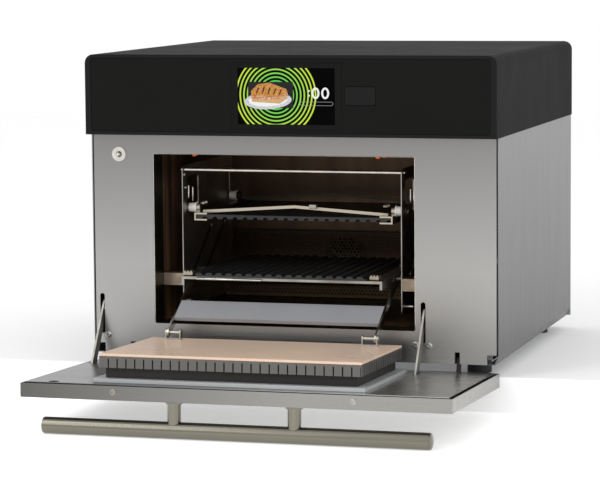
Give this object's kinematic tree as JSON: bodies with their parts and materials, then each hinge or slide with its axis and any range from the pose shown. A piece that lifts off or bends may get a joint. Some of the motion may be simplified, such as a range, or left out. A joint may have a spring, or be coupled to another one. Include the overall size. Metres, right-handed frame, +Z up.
{
  "type": "countertop rapid-cook oven",
  "caption": "Countertop rapid-cook oven with its drop-down door open, a plug block on the door, and a ridged sandwich press that the door works.",
  "frame": {"origin": "under the middle of the object's bounding box, level with the lowest point of the open door's handle", "axes": "+X to the oven's right as its front is faced, +Y from the front to the back, +Z up"},
  "size_m": [0.65, 0.9014, 0.5428],
  "materials": {
    "steel": "satin stainless",
    "bright_steel": "polished",
    "dull_steel": "dull, heat tinted",
    "galvanised": "matt galvanised",
    "cavity_steel": "dark, heat tinted",
    "casing_black": "satin powder coat",
    "panel_black": "matt black",
    "screen_glass": "gloss black",
    "grill_iron": "dark non-stick coating",
    "plug_tan": "gloss, tan",
    "plug_core": "dark insulation",
    "rubber": "matt",
    "board_green": "satin",
    "aluminium": "bare"
  },
  "bodies": {
    "shell": {"base_pan": "galvanised", "rear_panel": "galvanised", "cord_gland": "rubber", "side_panel_left": "steel", "side_panel_right": "steel", "front_panel": "steel", "casing_deck": "galvanised", "top_cover": "casing_black", "casing_bezel": "casing_black", "control_panel": "panel_black", "screen_frame": "panel_black", "touchscreen": "screen_glass", "foot_front_left": "rubber", "foot_front_right": "rubber", "foot_rear_left": "rubber", "foot_rear_right": "rubber", "cavity_liner": "cavity_steel", "rear_baffle": "cavity_steel", "heater_element": "dull_steel", "press_side_left": "steel", "press_side_right": "steel", "press_crossbar": "bright_steel", "press_bolt_left": "bright_steel", "press_bolt_right": "bright_steel", "press_spacer_left": "dull_steel", "press_spacer_right": "dull_steel", "catch_ring": "bright_steel", "hinge_bracket_left": "galvanised", "hinge_bracket_right": "galvanised", "magnetron": "aluminium", "waveguide": "galvanised", "blower_motor": "galvanised", "power_transformer": "dull_steel", "control_board": "board_green"},
    "door": {"door_outer_skin": "steel", "door_inner_panel": "steel", "plug_base": "steel", "plug_core": "plug_core", "choke_skirt": "steel", "plug_plate": "plug_tan", "clevis_left": "bright_steel", "clevis_right": "bright_steel", "handle_bar": "bright_steel", "handle_post_left": "bright_steel", "handle_post_right": "bright_steel", "hinge_arm_left": "dull_steel", "hinge_arm_right": "dull_steel"},
    "stay_left": {"stay_left": "dull_steel"},
    "stay_right": {"stay_right": "dull_steel"},
    "lift_arms": {"lift_arm_left": "steel", "lift_arm_right": "steel", "drip_apron": "steel"},
    "press_carriage": {"press_carriage": "dull_steel", "lower_grill": "grill_iron"},
    "upper_press": {"upper_frame": "dull_steel", "upper_grill": "grill_iron"},
    "catch_ball": {"catch_ball": "bright_steel"},
    "port_flap": {"port_flap": "panel_black"},
    "blower_wheel": {"blower_wheel": "dull_steel"}
  },
  "joints": [
    {"name": "door_hinge", "type": "hinge", "parent": "shell", "child": "door", "pos_m": [0, -0.12213, 0.08054], "axis": [-1, 0, 0], "range_deg": [0, 87.85]},
    {"name": "stay_left_pivot", "type": "hinge", "parent": "door", "child": "stay_left", "pos_m": [-0.3095, -0.18104, 0.06273], "axis": [1, 0, 0], "range_deg": [0, 26.5]},
    {"name": "stay_right_pivot", "type": "hinge", "parent": "door", "child": "stay_right", "pos_m": [0.2065, -0.18104, 0.06273], "axis": [1, 0, 0], "range_deg": [0, 26.5]},
    {"name": "lift_arm_pivot", "type": "hinge", "parent": "door", "child": "lift_arms", "pos_m": [-0.0143, -0.20131, 0.12003], "axis": [1, 0, 0], "range_deg": [0, 93]},
    {"name": "press_slide", "type": "slide", "parent": "shell", "child": "press_carriage", "axis": [0, 0.8192, 0.5736], "range_m": [0, 0.118]},
    {"name": "upper_grill_float", "type": "slide", "parent": "shell", "child": "upper_press", "axis": [0, 0, 1], "range_m": [0, 0.0434], "stiffness_N_per_m": 400},
    {"name": "catch_ball_slide", "type": "slide", "parent": "shell", "child": "catch_ball", "axis": [0, 1, 0], "range_m": [0, 0.005], "stiffness_N_per_m": 500},
    {"name": "port_flap_hinge", "type": "hinge", "parent": "shell", "child": "port_flap", "pos_m": [0.1388, -0.15553, 0.46759], "axis": [0, 0, 1], "range_deg": [0, 100]},
    {"name": "blower_axle", "type": "hinge", "parent": "shell", "child": "blower_wheel", "pos_m": [-0.0143, 0.23887, 0.18384], "axis": [0, 1, 0], "continuous": true}
  ],
  "couplings": [
    {"joint": "stay_left_pivot", "follows": "door_hinge", "ratio": 0.3},
    {"joint": "stay_right_pivot", "follows": "door_hinge", "ratio": 0.3},
    {"joint": "lift_arm_pivot", "follows": "door_hinge", "ratio": 1.0569},
    {"joint": "press_slide", "follows": "door_hinge", "m_per_rad": 0.076686}
  ]
}
